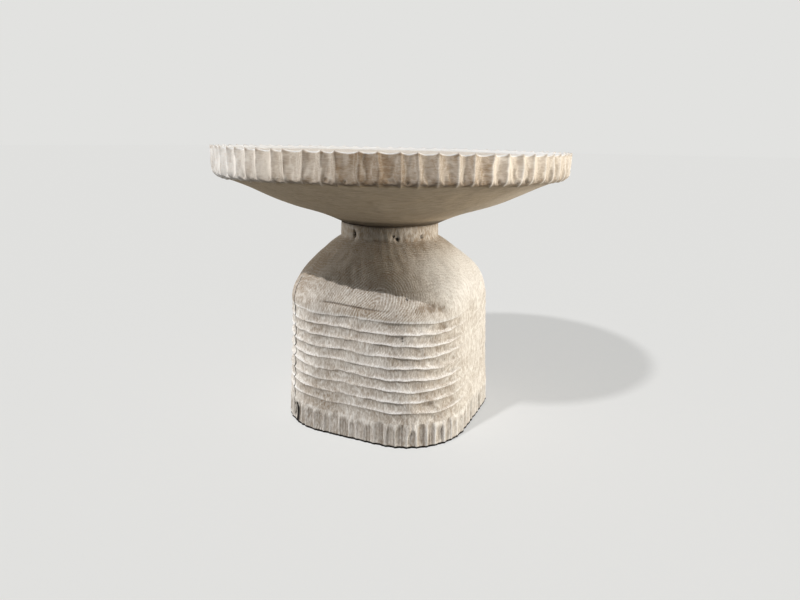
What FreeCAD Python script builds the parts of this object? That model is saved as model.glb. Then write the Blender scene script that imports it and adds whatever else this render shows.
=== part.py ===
import FreeCAD, Part
import math
import os
import Sketcher

# African drum table, in millimetres: +Z up, origin on the floor under the centre of the foot.
# Two carved blocks make the table. The top is a dished disc with a fluted rim and a coned underside.
# The pedestal has a round neck, a domed shoulder, a rounded-square body ringed by carved grooves
# and a foot band of upright flutes. Loose tenons in chiselled mortises hold the two blocks together.

SIZES = (
    # alias, value, what it is
    ("top_radius", 305, "top, centre to the ridge tips of the rim"),
    ("top_thickness", 127, "top, landing on the neck up to the crest of the rim"),
    ("rim_height", 42, "fluted rim, lower edge up to the crest"),
    ("crest_land", 7, "flat crest between the rim's ridge tips and the dish"),
    ("dish_depth", 9, "depth of the dish under the crest"),
    ("dish_border", 26, "width of the sloping border between crest and dish floor"),
    ("rim_flute_count", 74, "flutes round the rim"),
    ("rim_flute_depth", 5.3, "depth of a rim flute under the ridge tips"),
    ("landing_radius", 88.5, "flat under the top that lands on the neck"),
    ("neck_height", 43, "root of the neck up to the seam under the top"),
    ("neck_radius", 87, "neck"),
    ("shoulder_height", 92, "domed shoulder, first ridge up to the root of the neck"),
    ("shoulder_top_half", 111, "half width of the shoulder at the root of the neck"),
    ("neck_root_radius", 110.5, "root of the neck, where it spreads into the shoulder"),
    ("neck_root_height", 18, "spread root of the neck"),
    ("body_half", 162, "half width of the body at its first ridge"),
    ("ridge_top", 218, "floor up to the first ridge"),
    ("groove_count", 9, "grooves round the body"),
    ("groove_depth", 4, "depth of a groove under its ridges"),
    ("groove_root_rise", 12, "from a ridge up to the root of the groove over it"),
    ("mantle_wall", 14, "thickness of the grooved mantle round the core, at the first ridge"),
    ("foot_spread", 10, "how far the foot stands out past the first ridge"),
    ("foot_corner", 114, "corner radius of the foot"),
    ("foot_height", 46, "foot band, floor up to the last ridge"),
    ("foot_flute_height", 40, "upright flutes of the foot band"),
    ("foot_flute_depth", 3.2, "depth of a foot flute"),
    ("face_flute_count", 7, "flutes along each straight face of the foot"),
    ("corner_flute_count", 10, "flutes round each corner of the foot"),
    ("tenon_width", 56, "square loose tenon on the centre line"),
    ("tenon_reach", 52, "how far the centre tenon reaches into each block"),
    ("side_tenon_count", 4, "flat loose tenons round the centre tenon"),
    ("side_tenon_thick", 14, "side tenon, towards the centre"),
    ("side_tenon_wide", 44, "side tenon, across"),
    ("side_tenon_reach", 38, "how far a side tenon reaches into each block"),
    ("side_tenon_out", 62, "centre of the table to the middle of a side tenon"),
    ("tenon_chamfer", 2.5, "broken ends of the tenons"),
    ("glue_gap", 0.25, "glue line between a tenon and the wall of its mortise"),
    ("mortise_room", 2, "room for spare glue beyond each end of a tenon"),
    ("overrun", 8, "how far a cutter or an inner block runs past what it meets"),
)

# Domed shoulder, from the first ridge up to the root of the neck. Each row is chosen by hand: share of
# the shoulder's height, share of the widening down to the body, and share of the rounding of the corners,
# from the body's own corners at 0 to a full circle at 1.
SHOULDER_SHARES = (
    (0.00, 1.00, 0.00),
    (0.28, 0.93, 0.19),
    (0.54, 0.75, 0.47),
    (0.78, 0.43, 0.75),
    (1.00, 0.00, 0.96),
)

FOOT_HALF = "(sizes.body_half + sizes.foot_spread)"
ROOT = "(sizes.ridge_top + sizes.shoulder_height)"
SEAM = "(%s + sizes.neck_height)" % ROOT

doc = FreeCAD.newDocument("african_drum_table")
sheet = doc.addObject("Spreadsheet::Sheet", "sizes")
for row, (alias, size, note) in enumerate(SIZES, start=1):
    sheet.set("A%d" % row, alias)
    sheet.set("B%d" % row, str(size))
    sheet.setAlias("B%d" % row, alias)
    sheet.set("C%d" % row, note)
doc.recompute()


def worth(expression):
    """Present value of an expression on the sheet, in millimetres or as a count."""
    result = sheet.evalExpression(expression)
    return float(getattr(result, "Value", result))


def new_body(label):
    """An empty body whose label names its node."""
    body = doc.addObject("PartDesign::Body", label)
    body.Label = label
    return body


def new_sketch(body, name, role, height="0"):
    """A sketch on one of the body's own origin planes, raised by height along the plane's normal."""
    sketch = body.newObject("Sketcher::SketchObject", name)
    plane = next(part for part in body.Origin.OriginFeatures if part.Role == role)
    sketch.AttachmentSupport = [(plane, "")]
    sketch.MapMode = "FlatFace"
    if height != "0":
        sketch.setExpression(".AttachmentOffset.Base.z", height)
    return sketch


def bind(sketch, kind, *args):
    """A constraint whose value follows the sheet. The last argument is its expression."""
    index = sketch.addConstraint(Sketcher.Constraint(kind, *args[:-1], worth(args[-1])))
    sketch.setExpression("Constraints[%d]" % index, args[-1])


def outline(body, name, role, points, height="0"):
    """A closed outline through points (x, y, bulge), each an expression on the sheet.

    The edge that leaves a point is straight where bulge is None. Otherwise it is an arc that stands off
    its chord by the bulge's expression, to the right of the way round.
    """
    sketch = new_sketch(body, name, role, height)
    spots = [FreeCAD.Vector(worth(x), worth(y), 0) for x, y, _ in points]
    edges = []
    for here, (x, y, bulge) in enumerate(points):
        there = (here + 1) % len(points)
        start, end = spots[here], spots[there]
        if bulge is None:
            edges.append((sketch.addGeometry(Part.LineSegment(start, end)), 1, 2))
            continue
        run = "((%s) - (%s))" % (points[there][0], x)
        climb = "((%s) - (%s))" % (points[there][1], y)
        radius = "(%s ^ 2 + %s ^ 2) / (8 * (%s)) + (%s) / 2" % (run, climb, bulge, bulge)
        chord = end - start
        left = FreeCAD.Vector(-chord.y, chord.x, 0).normalize()
        centre = (start + end) * 0.5 + left * (worth(radius) - worth(bulge))
        turn = [math.atan2((spot - centre).y, (spot - centre).x) for spot in (start, end)]
        circle = Part.Circle(centre, FreeCAD.Vector(0, 0, 1), worth(radius))
        geometry = sketch.addGeometry(Part.ArcOfCircle(circle, turn[0], turn[1]))
        edges.append((geometry, 1, 2))
        bind(sketch, "Radius", geometry, radius)
    for here, (x, y, _) in enumerate(points):
        geometry, start, _ = edges[here]
        before, _, end = edges[here - 1]
        sketch.addConstraint(Sketcher.Constraint("Coincident", before, end, geometry, start))
        for kind, axis, expression in (("DistanceX", -2, x), ("DistanceY", -1, y)):
            if expression == "0":
                sketch.addConstraint(Sketcher.Constraint("PointOnObject", geometry, start, axis))
            else:
                bind(sketch, kind, geometry, start, expression)
    return sketch


def rounded_square(body, name, half, corner, height="0"):
    """A square of the given half width with round corners, its first point in the middle of the +X side."""
    flat = "(%s) - (%s)" % (half, corner)
    rise = "(%s) * (1 - cos(45))" % corner
    turns = (("", "-"), ("", ""), ("-", ""), ("-", "-"))
    points = [(half, "0", None)]
    for step, (sign_x, sign_y) in enumerate(turns[1:] + turns[:1]):
        side_point = ("%s(%s)" % (sign_x, half), "%s(%s)" % (sign_y, flat))
        end_point = ("%s(%s)" % (sign_x, flat), "%s(%s)" % (sign_y, half))
        first, second = (side_point, end_point) if step % 2 == 0 else (end_point, side_point)
        points.append((first[0], first[1], rise))
        points.append((second[0], second[1], None))
    return outline(body, name, "XY_Plane", points, height)


def rectangle(body, name, size_x, size_y, height="0", centre_x="0"):
    """A rectangle centred on the body's X axis, at a distance from the upright axis."""
    left, right = "%s - (%s) / 2" % (centre_x, size_x), "%s + (%s) / 2" % (centre_x, size_x)
    near, far = "-(%s) / 2" % size_y, "(%s) / 2" % size_y
    points = ((left, near, None), (right, near, None), (right, far, None), (left, far, None))
    return outline(body, name, "XY_Plane", points, height)


def disc(body, name, radius, distance):
    """A circle at a distance from the body's upright axis along +X."""
    sketch = new_sketch(body, name, "XY_Plane")
    centre = FreeCAD.Vector(worth(distance), 0, 0)
    circle = sketch.addGeometry(Part.Circle(centre, FreeCAD.Vector(0, 0, 1), worth(radius)))
    bind(sketch, "Radius", circle, radius)
    sketch.addConstraint(Sketcher.Constraint("PointOnObject", circle, 3, -1))
    bind(sketch, "DistanceX", circle, 3, distance)
    return sketch


def revolve(body, name, profile):
    """The profile turned once about the body's upright axis."""
    feature = body.newObject("PartDesign::Revolution", name)
    feature.Profile = profile
    feature.ReferenceAxis = (profile, ["V_Axis"])
    feature.Angle = 360
    return feature


def pad(body, name, profile, length, down=False):
    """The profile raised by a length, or lowered by it."""
    feature = body.newObject("PartDesign::Pad", name)
    feature.Profile = profile
    feature.setExpression("Length", length)
    feature.Reversed = down
    return feature


def pocket(body, name, profile, length, down=False):
    """The profile cut upwards over a length, or downwards."""
    feature = body.newObject("PartDesign::Pocket", name)
    feature.Profile = profile
    feature.setExpression("Length", length)
    feature.Reversed = not down
    return feature


def polar(body, name, originals, axis, count, angle=360):
    """Copies of features round an axis, spread over a whole turn or over part of one."""
    feature = body.newObject("PartDesign::PolarPattern", name)
    feature.Originals = originals
    feature.Axis = axis
    feature.Angle = angle
    feature.setExpression("Occurrences", count)
    body.Tip = feature
    return feature


def turned(out, across, angle, shift):
    """A corner point of a sketch: out and across from the corner's centre, turned and shifted to its place."""
    x = "%s * cos(%s) - %s * sin(%s) + %s" % (out, angle, across, angle, shift)
    y = "%s * sin(%s) + %s * cos(%s) + %s" % (out, angle, across, angle, shift)
    return x, y, None


def along(body, name, direction, length, count):
    """One step of a repeat: copies in a row over a length."""
    step = doc.addObject("PartDesign::LinearPattern", name)
    body.addObject(step)
    step.Direction = direction
    step.setExpression("Length", length)
    step.setExpression("Occurrences", count)
    return step


def around(body, name, axis):
    """One step of a repeat: four copies in a whole turn, one for each side of the square."""
    step = doc.addObject("PartDesign::PolarPattern", name)
    body.addObject(step)
    step.Axis = axis
    step.Angle = 360
    step.Occurrences = 4
    return step


def repeat(body, name, original, steps):
    """A feature repeated by several steps, one after the other."""
    feature = body.newObject("PartDesign::MultiTransform", name)
    feature.Originals = [original]
    feature.Transformations = steps
    body.Tip = feature
    return feature


def cut_check(body, before, what):
    """Stops the build if a cut took no wood away."""
    doc.recompute()
    after = body.Shape.Volume
    if not after < before:
        raise RuntimeError("%s cut nothing in %s" % (what, body.Label))
    return after


def mortises(body, height, down):
    """Blind mortises for the centre tenon and the side tenons in the joint face at a height."""
    volume = body.Shape.Volume
    wide = "sizes.tenon_width + 2 * sizes.glue_gap"
    centre = rectangle(body, "centre_mortise_plan", wide, wide, height)
    pocket(body, "centre_mortise", centre, "sizes.tenon_reach + sizes.mortise_room", down)
    volume = cut_check(body, volume, "centre mortise")
    thick = "sizes.side_tenon_thick + 2 * sizes.glue_gap"
    wide = "sizes.side_tenon_wide + 2 * sizes.glue_gap"
    side = rectangle(body, "side_mortise_plan", thick, wide, height, "sizes.side_tenon_out")
    first = pocket(body, "side_mortise", side, "sizes.side_tenon_reach + sizes.mortise_room", down)
    volume = cut_check(body, volume, "first side mortise")
    polar(body, "side_mortises", [first], (side, ["N_Axis"]), "sizes.side_tenon_count")
    cut_check(body, volume, "side mortises")


def make_tabletop():
    """Disc turned from one slab: landing, coned underside, rim, crest and dish, then the rim's flutes."""
    body = new_body("tabletop")
    floor = "sizes.top_thickness - sizes.dish_depth"
    profile = outline(body, "top_profile", "XZ_Plane", (
        ("0", "0", None),
        ("sizes.landing_radius", "0", None),
        ("sizes.top_radius", "sizes.top_thickness - sizes.rim_height", None),
        ("sizes.top_radius", "sizes.top_thickness", None),
        ("sizes.top_radius - sizes.crest_land", "sizes.top_thickness", None),
        ("sizes.top_radius - sizes.crest_land - sizes.dish_border", floor, None),
        ("0", floor, None),
    ))
    revolve(body, "turned_disc", profile)
    doc.recompute()
    # Neighbouring flutes meet in a ridge at the full radius, which sets the gouge that cuts them.
    half_pitch = "(sizes.top_radius * sin(180 / sizes.rim_flute_count))"
    rise = "(sizes.rim_flute_depth - sizes.top_radius * (1 - cos(180 / sizes.rim_flute_count)))"
    gouge = "((%s ^ 2 + %s ^ 2) / (2 * %s))" % (half_pitch, rise, rise)
    reach = "sizes.top_radius - sizes.rim_flute_depth + %s" % gouge
    flute_plan = disc(body, "rim_flute_plan", gouge, reach)
    flute = pocket(body, "rim_flute", flute_plan, "sizes.top_thickness + sizes.overrun")
    volume = cut_check(body, body.Shape.Volume + 1, "first rim flute")
    polar(body, "rim_flutes", [flute], (flute_plan, ["N_Axis"]), "sizes.rim_flute_count")
    cut_check(body, volume, "rim flutes")
    mortises(body, "0", False)
    body.setExpression(".Placement.Base.z", SEAM)
    return body


def make_pedestal():
    """One carved block: foot, grooved body, domed shoulder and neck."""
    body = new_body("pedestal")
    foot_plan = rounded_square(body, "foot_plan", FOOT_HALF, "sizes.foot_corner")
    pad(body, "foot", foot_plan, "sizes.foot_height")
    doc.recompute()

    # Foot flutes: the first of a face and the first of a corner, copied along and then round the square.
    # A flute is a V whose flanks pass through the ridges beside it, drawn out to twice its width.
    flat = "(%s - sizes.foot_corner)" % FOOT_HALF
    pitch = "(2 * %s / sizes.face_flute_count)" % flat
    root = "%s - sizes.foot_flute_depth" % FOOT_HALF
    mouth = "%s + sizes.foot_flute_depth" % FOOT_HALF
    face_flute = outline(body, "face_flute_plan", "XY_Plane", (
        (root, "%s / 2 - %s" % (pitch, flat), None),
        (mouth, "-%s / 2 - %s" % (pitch, flat), None),
        (mouth, "3 * %s / 2 - %s" % (pitch, flat), None),
    ))
    first_face = pocket(body, "face_flute", face_flute, "sizes.foot_flute_height")
    volume = cut_check(body, body.Shape.Volume + 1, "first face flute")
    row = along(body, "face_flutes_along", (face_flute, ["V_Axis"]), "2 * %s - %s" % (flat, pitch),
                "sizes.face_flute_count")
    repeat(body, "face_flutes", first_face, [row, around(body, "face_flutes_round", (face_flute, ["N_Axis"]))])
    volume = cut_check(body, volume, "face flutes")

    turn = "(45 / sizes.corner_flute_count)"
    half_pitch = "(sizes.foot_corner * sin(%s))" % turn
    rise = "(sizes.foot_flute_depth - sizes.foot_corner * (1 - cos(%s)))" % turn
    root = "(sizes.foot_corner - sizes.foot_flute_depth)"
    mouth = "(sizes.foot_corner - sizes.foot_flute_depth + 2 * %s)" % rise
    corner_flute = outline(body, "corner_flute_plan", "XY_Plane", (
        turned(root, "0", turn, flat),
        turned(mouth, "(-2 * %s)" % half_pitch, turn, flat),
        turned(mouth, "(2 * %s)" % half_pitch, turn, flat),
    ))
    first_corner = pocket(body, "corner_flute", corner_flute, "sizes.foot_flute_height")
    volume = cut_check(body, volume, "first corner flute")
    corner_axis = new_sketch(body, "corner_axis", "XY_Plane")
    corner_axis.setExpression(".AttachmentOffset.Base.x", flat)
    corner_axis.setExpression(".AttachmentOffset.Base.y", flat)
    swing = around(body, "corner_flutes_swing", (corner_axis, ["N_Axis"]))
    swing.setExpression("Angle", "90 - 2 * %s" % turn)
    swing.setExpression("Occurrences", "sizes.corner_flute_count")
    repeat(body, "corner_flutes", first_corner,
           [swing, around(body, "corner_flutes_round", (face_flute, ["N_Axis"]))])
    cut_check(body, volume, "corner flutes")

    # Grooved mantle: one upright profile of ridges, carried round the rounded square of the foot.
    path = rounded_square(body, "mantle_path", FOOT_HALF, "sizes.foot_corner", "sizes.foot_height")
    pitch = "(sizes.ridge_top - sizes.foot_height) / sizes.groove_count"
    flare = "sizes.foot_spread / sizes.groove_count"
    inner = "(sizes.body_half - sizes.mantle_wall)"
    points = []
    for step in range(int(worth("sizes.groove_count"))):
        ridge = "%s - %d * (%s)" % (FOOT_HALF, step, flare)
        height = "sizes.foot_height + %d * (%s)" % (step, pitch)
        points.append((ridge, height, None))
        points.append(("%s - sizes.groove_depth" % ridge, "%s + sizes.groove_root_rise" % height, None))
    points.append(("sizes.body_half", "sizes.ridge_top", None))
    points.append((inner, "sizes.ridge_top", None))
    points.append((inner, "sizes.foot_height", None))
    profile = outline(body, "mantle_profile", "XZ_Plane", points)
    mantle = body.newObject("PartDesign::AdditivePipe", "mantle")
    mantle.Profile = profile
    mantle.Spine = path
    mantle.Mode = "Frenet"
    doc.recompute()
    core_half = "%s + sizes.overrun" % inner
    core_corner = "sizes.foot_corner - %s + %s" % (FOOT_HALF, core_half)
    core_plan = rounded_square(body, "core_plan", core_half, core_corner, "sizes.foot_height")
    pad(body, "core", core_plan, "sizes.ridge_top - sizes.foot_height")
    doc.recompute()

    # Shoulder: rounded squares that grow rounder as they close in on the neck.
    square_share = "(%s / sizes.body_half)" % flat
    sections = []
    for step, (up_share, width_share, round_share) in enumerate(SHOULDER_SHARES):
        half = "(sizes.shoulder_top_half + (sizes.body_half - sizes.shoulder_top_half) * %s)" % width_share
        corner = "(%s * (1 - %s * (1 - %s)))" % (half, square_share, round_share)
        height = "sizes.ridge_top + sizes.shoulder_height * %s" % up_share
        sections.append(rounded_square(body, "shoulder_section_%d" % step, half, corner, height))
    shoulder = body.newObject("PartDesign::AdditiveLoft", "shoulder")
    shoulder.Profile = sections[0]
    shoulder.Sections = sections[1:]
    shoulder.Ruled = True
    doc.recompute()

    # Neck: turned, with a spread root that takes over from the shoulder.
    neck_profile = outline(body, "neck_profile", "XZ_Plane", (
        ("0", "%s - sizes.overrun" % ROOT, None),
        ("sizes.neck_root_radius", "%s - sizes.overrun" % ROOT, None),
        ("sizes.neck_root_radius", ROOT, None),
        ("sizes.neck_radius", "%s + sizes.neck_root_height" % ROOT, None),
        ("sizes.neck_radius", SEAM, None),
        ("0", SEAM, None),
    ))
    revolve(body, "neck", neck_profile)
    doc.recompute()
    mortises(body, SEAM, True)
    return body


def make_tenon(label, size_x, size_y, reach, out="0", angle="0"):
    """A loose tenon with broken ends, half in each block, out from the centre and turned with it."""
    body = new_body(label)
    plan = rectangle(body, "%s_plan" % label, size_x, size_y)
    bar = pad(body, "%s_bar" % label, plan, "2 * %s" % reach)
    doc.recompute()
    edges = enumerate(bar.Shape.Edges, start=1)
    level = ["Edge%d" % number for number, edge in edges if edge.BoundBox.ZLength < edge.Length / 2]
    ends = body.newObject("PartDesign::Chamfer", "%s_ends" % label)
    ends.Base = (bar, level)
    ends.setExpression("Size", "sizes.tenon_chamfer")
    body.setExpression(".Placement.Base.x", "%s * cos(%s)" % (out, angle))
    body.setExpression(".Placement.Base.y", "%s * sin(%s)" % (out, angle))
    body.setExpression(".Placement.Base.z", "%s - %s" % (SEAM, reach))
    body.Placement.Rotation = FreeCAD.Rotation(FreeCAD.Vector(0, 0, 1), worth(angle))
    body.setExpression(".Placement.Rotation.Angle", angle)
    return body


nodes = [make_tabletop(), make_pedestal()]
nodes.append(make_tenon("centre_tenon", "sizes.tenon_width", "sizes.tenon_width", "sizes.tenon_reach"))
for number in range(int(worth("sizes.side_tenon_count"))):
    nodes.append(make_tenon(
        "side_tenon_%d" % (number + 1), "sizes.side_tenon_thick", "sizes.side_tenon_wide",
        "sizes.side_tenon_reach", "sizes.side_tenon_out", "%d * 360 / sizes.side_tenon_count" % number))
doc.recompute()

for item in doc.Objects:
    if "Invalid" in item.State or "Error" in item.State:
        raise RuntimeError("%s is not sound: %s" % (item.Label, item.State))
os.makedirs("parts", exist_ok=True)
for node in nodes:
    shape = node.Shape
    if shape.isNull() or not shape.isValid() or len(shape.Solids) != 1:
        raise RuntimeError("%s is not one sound solid" % node.Label)
for node in nodes:
    node.Shape.exportStep("parts/%s.step" % node.Label)
    box = node.Shape.BoundBox
    print("%-14s %9.0f mm3  z %.1f to %.1f  x %.1f to %.1f" % (
        node.Label, node.Shape.Volume, box.ZMin, box.ZMax, box.XMin, box.XMax))
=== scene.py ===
import math
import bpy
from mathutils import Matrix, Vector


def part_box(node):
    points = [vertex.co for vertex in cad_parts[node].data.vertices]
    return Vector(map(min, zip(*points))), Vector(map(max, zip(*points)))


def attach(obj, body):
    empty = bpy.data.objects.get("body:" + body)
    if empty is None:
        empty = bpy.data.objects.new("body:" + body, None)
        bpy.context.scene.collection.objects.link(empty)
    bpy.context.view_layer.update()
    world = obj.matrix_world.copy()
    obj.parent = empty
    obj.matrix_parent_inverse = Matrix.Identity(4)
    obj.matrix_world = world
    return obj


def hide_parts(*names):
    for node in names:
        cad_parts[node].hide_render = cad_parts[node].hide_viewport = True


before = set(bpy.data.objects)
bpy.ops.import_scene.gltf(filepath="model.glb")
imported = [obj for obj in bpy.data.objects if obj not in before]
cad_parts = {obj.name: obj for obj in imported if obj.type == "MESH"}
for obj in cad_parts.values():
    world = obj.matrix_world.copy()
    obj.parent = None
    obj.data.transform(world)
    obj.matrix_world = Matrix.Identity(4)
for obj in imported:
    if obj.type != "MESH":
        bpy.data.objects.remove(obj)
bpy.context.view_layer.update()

from types import SimpleNamespace

import bpy
import numpy as np
from bpy.props import FloatProperty, FloatVectorProperty, IntProperty, PointerProperty
from bpy.types import Operator, Panel, PropertyGroup
from mathutils import Matrix

bl_info = {
    "name": "African drum table",
    "version": (1, 0, 0),
    "blender": (4, 5, 0),
    "location": "View3D > Sidebar > Drum table",
    "description": "Hand-carved drum table: fluted, dished top on a ridged pedestal, in bleached hardwood",
    "category": "Add Mesh",
}

MM = 0.001
_, TOP_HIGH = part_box("tabletop")
_, PEDESTAL_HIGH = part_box("pedestal")
SEAM = PEDESTAL_HIGH.z
TENONS = ("centre_tenon", "side_tenon_1", "side_tenon_2", "side_tenon_3", "side_tenon_4")

# The photographer stands off the front right corner. The top was carved a little out of level, so its
# rim is deepest on the photographer's left.
CAMERA_TURN = math.radians(24.6)
PHOTO_LEFT = CAMERA_TURN + math.pi

# Each point of the carved wood has five values from 0 to 1 that its material reads: how rubbed pale it is,
# with highlights painted on lit ridges and sides; how much dust stays, with shade painted brown under ridges,
# lips and scored lines; how much shade is painted browner under the top; how bare the wash is (less than 0
# where it lies thicker), with shade painted on faces turned from the light and light painted on lit sides;
# and how nearly black it is, in cracks and in shade painted at the seam, along the floor and under the rim.
FIELDS = ("tip_and_highlight", "hollow_and_shade", "under", "bare_and_shading", "grime_and_shade")


def linear(hex_colour):
    """Linear RGBA of an sRGB colour written #rrggbb."""
    parts = [int(hex_colour[i:i + 2], 16) / 255 for i in (1, 3, 5)]
    return tuple(p / 12.92 if p <= 0.04045 else ((p + 0.055) / 1.055) ** 2.4 for p in parts) + (1.0,)


def length(size_mm, name, description):
    """A length property whose default is given in millimetres."""
    return FloatProperty(name=name, description=description, default=size_mm * MM, min=0.0, unit="LENGTH")


def strength(value, name, description):
    """A property for the strength of a light."""
    return FloatProperty(name=name, description=description, default=value, min=0.0)


def colour(hex_colour, name, description):
    """A colour property whose default is given as sRGB hex."""
    return FloatVectorProperty(
        name=name, description=description, default=linear(hex_colour), size=4, min=0.0, max=1.0,
        subtype="COLOR")


class TopSizes(PropertyGroup):
    """Sizes of the carved top."""

    radius: FloatProperty(
        name="Radius", description="Centre of the top to the ridge tips of its rim",
        default=TOP_HIGH.y, unit="LENGTH")
    rim_height: length(42.0, "Rim height", "Mean height of the fluted rim, crest down to the cone")
    rim_sag: length(3.0, "Rim sag", "How much deeper the rim is on the photographer's left than on average")
    crest_tilt: length(2.6, "Crest tilt", "How much higher the crest stands on the photographer's left")
    edge_turn: length(16.0, "Turned edge", "Radius that turns the foot of the rim into the underside")
    border: length(36.0, "Border width", "Width of the curved border between the crest and the dish floor")
    dish_depth: length(9.0, "Dish depth", "Depth of the dish floor under the crest")
    landing: length(88.5, "Landing radius", "Flat under the top that lands on the neck")
    flute_depth: length(6.0, "Flute depth", "Mean depth of a rim flute under the ridges beside it")
    flute_count: IntProperty(name="Flutes", description="Flutes round the rim", default=74, min=3)


class PedestalSizes(PropertyGroup):
    """Sizes of the carved pedestal."""

    foot_half: FloatProperty(
        name="Foot", description="Half width of the foot", default=PEDESTAL_HIGH.x, unit="LENGTH")
    foot_corner: length(114.0, "Foot corner", "Corner radius of the foot")
    foot_height: length(46.0, "Foot band", "Floor up to the top of the fluted foot band")
    foot_flute: length(40.0, "Foot flute height", "Floor up to the rounded top of a foot flute")
    foot_flute_depth: length(2.9, "Foot flute depth", "Mean depth of a foot flute")
    foot_flute_count: IntProperty(name="Foot flutes", description="Flutes round the foot", default=68, min=8)
    body_half: length(162.0, "Body", "Half width of the body at its first ridge")
    body_corner: length(104.0, "Body corner", "Corner radius of the body at its first ridge")
    ridge_top: length(216.5, "First ridge", "Floor up to the first ridge")
    groove_count: IntProperty(name="Grooves", description="Grooves round the body", default=9, min=1)
    groove_depth: length(3.5, "Groove depth", "Mean depth of a groove under its ridges")
    neck_radius: length(87.0, "Neck", "Radius of the neck")
    neck_root: length(327.0, "Neck root", "Floor up to the break between the shoulder and the neck")
    off_centre: length(2.8, "Off centre", "How far the body stands to the photographer's right")
    neck_off_centre: length(2.3, "Neck off centre", "How far the neck stands to the photographer's left")


class WoodColours(PropertyGroup):
    """Colours of the bleached wood."""

    wash: colour("#EAE6DF", "Wash", "White wash that lies in the grain")
    wood: colour("#9B8B79", "Bleached wood", "Bleached wood between the grain lines")
    top_wash: colour("#EFE5D7", "Top's wash", "Creamier wash that lies in the grain of the top")
    top_wood: colour("#A38A6E", "Top's wood", "Browner bleached wood of the top, bared on the rim's front")
    # Paints the shade under the top: browner, darker wood on the underside and high on the shoulder.
    painted_shade_wood: colour("#A58F6C", "Sheltered wood", "Browner wood under the top, which was bleached less")
    # Paints dust in hollows, and also the shade painted under ridges, under the rim's lip and in the scored
    # line.
    hollow_and_shade: colour("#7B6A58", "Hollows", "Dust and old stain left in hollows")
    # Paints rubbed ridge tips, and also highlights painted on lit ridges and light painted on the sides
    # facing the lamps.
    tip_and_highlight: colour("#F6F6F5", "Ridge tips", "Ridge tips, rubbed pale")
    # Also paints the near-black shade at the seam, along the foot's edge on the floor, under the rim's lip
    # and high on the shoulder.
    crack: colour("#17120E", "Cracks", "Dark inside of cracks, knots and pinholes")
    tenon: colour("#A9825A", "Tenons", "Bare sawn hardwood of the loose tenons")


class StageLook(PropertyGroup):
    """Floor, lights and camera."""

    floor: colour("#E2E2E0", "Floor", "Pale floor as the camera sees it")
    key_strength: strength(2.35, "Key", "Strength of the key light")
    right_strength: strength(3.6, "Right", "Strength of the low light from the right")
    left_strength: strength(1.9, "Left", "Strength of the low light from the left")
    floor_strength: strength(2.4, "Floor light", "Strength of the light that casts the shadow on the floor")
    sky_strength: strength(0.12, "Sky", "Strength of the even light all round")
    focal_pixels: FloatProperty(
        name="Focal length", description="Focal length in pixels of the 800 pixel wide frame", default=583.7)
    distance: length(1055.9, "Distance", "Camera to the table's centre line, level")
    above_crest: length(12.05, "Above crest", "Camera height above the crest of the top")


def waves(angle, rise, seed, turns, climb, count=9):
    """Smooth unevenness of about 1 in size that closes round the table.

    It is a sum of cosines. Each one has a seeded whole number of turns round the table, up to `turns`, a
    seeded climb with the height, up to `climb` radians a metre, and a seeded phase.
    """
    dice = np.random.default_rng(seed)
    total = 0.0
    for _ in range(count):
        turn = dice.integers(1, turns + 1)
        slope = dice.uniform(-climb, climb)
        total = total + np.cos(turn * angle + slope * rise + dice.uniform(0.0, 2.0 * math.pi))
    return total / math.sqrt(count / 2.0)


def smooth_step(low, high, value):
    """0 below low, 1 above high, and an S curve between them."""
    share = np.clip((value - low) / (high - low), 0.0, 1.0)
    return share * share * (3.0 - 2.0 * share)


def between(start, full, fading, end, value):
    """0 outside start and end, 1 from full to fading, and S curves beside them."""
    return smooth_step(start, full, value) * (1.0 - smooth_step(fading, end, value))


def bell(away, width, power=2):
    """1 where away is 0, and little beyond the width. A higher power squares its shoulders."""
    return np.exp(-(away / width) ** power)


def ring_quads(upper, lower):
    """Quads between two rings of vertex numbers, of equal length, that both close."""
    return np.stack([upper, lower, np.roll(lower, -1), np.roll(upper, -1)], axis=-1).reshape(-1, 4)


def grid_quads(number):
    """Quads between all neighbouring rows of a grid of vertex numbers."""
    return np.concatenate([ring_quads(upper, lower) for upper, lower in zip(number, number[1:])])


def fan(middle, ring):
    """Triangles from a middle vertex to each pair of neighbours on a closed ring."""
    return np.stack([np.full(len(ring), middle), ring, np.roll(ring, -1)], axis=-1)


def under_fan(middle, ring):
    """The same triangles, facing the other way."""
    return np.stack([np.full(len(ring), middle), np.roll(ring, -1), ring], axis=-1)


def finished_mesh(name, points, quads, triangles=(), fields=None, smooth=True):
    """A mesh from whole arrays, with one float attribute for each of the named fields."""
    mesh = bpy.data.meshes.new(name)
    mesh.vertices.add(len(points))
    mesh.vertices.foreach_set("co", np.ascontiguousarray(points, dtype=np.float32).ravel())
    corners = np.concatenate([quads.ravel(), np.ravel(triangles)]).astype(np.int32)
    mesh.loops.add(len(corners))
    mesh.loops.foreach_set("vertex_index", corners)
    starts = np.concatenate([
        np.arange(len(quads)) * 4,
        len(quads) * 4 + np.arange(len(triangles)) * 3,
    ]).astype(np.int32)
    mesh.polygons.add(len(starts))
    mesh.polygons.foreach_set("loop_start", starts)
    mesh.update(calc_edges=True)
    mesh.polygons.foreach_set("use_smooth", np.full(len(starts), smooth))
    for field, values in (fields or {}).items():
        layer = mesh.attributes.new(field, "FLOAT", "POINT")
        layer.data.foreach_set("value", np.ascontiguousarray(values, dtype=np.float32).ravel())
    if mesh.validate():
        raise RuntimeError("%s has unsound faces" % name)
    return mesh


def place(name, mesh, material=None):
    """A new object at the origin with its material, linked to the scene."""
    if material:
        mesh.materials.append(material)
    piece = bpy.data.objects.new(name, mesh)
    bpy.context.scene.collection.objects.link(piece)
    return piece


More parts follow.
